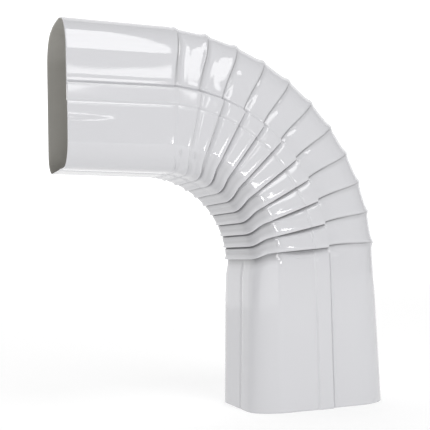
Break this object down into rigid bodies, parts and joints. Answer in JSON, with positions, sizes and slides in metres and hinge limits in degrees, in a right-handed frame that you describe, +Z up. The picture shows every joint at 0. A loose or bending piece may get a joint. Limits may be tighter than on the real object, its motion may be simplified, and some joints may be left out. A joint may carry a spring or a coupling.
{
  "type": "gutter elbow",
  "caption": "Pleated rectangular downspout elbow in painted sheet metal, with a plain inlet arm, a plain outlet leg and a lock seam along one wide side.",
  "frame": {"origin": "centre of the outlet mouth, in the plane of its rim", "axes": "+Z up along the outlet leg, -X along the inlet arm towards its mouth, -Y out of the wide side that carries the lock seam"},
  "size_m": [0.1879, 0.0604, 0.217],
  "materials": {
    "baked_enamel": "glossy white baked enamel outside, thin matt grey wash coat inside"
  },
  "bodies": {
    "root": {"elbow": "baked_enamel"}
  },
  "joints": []
}
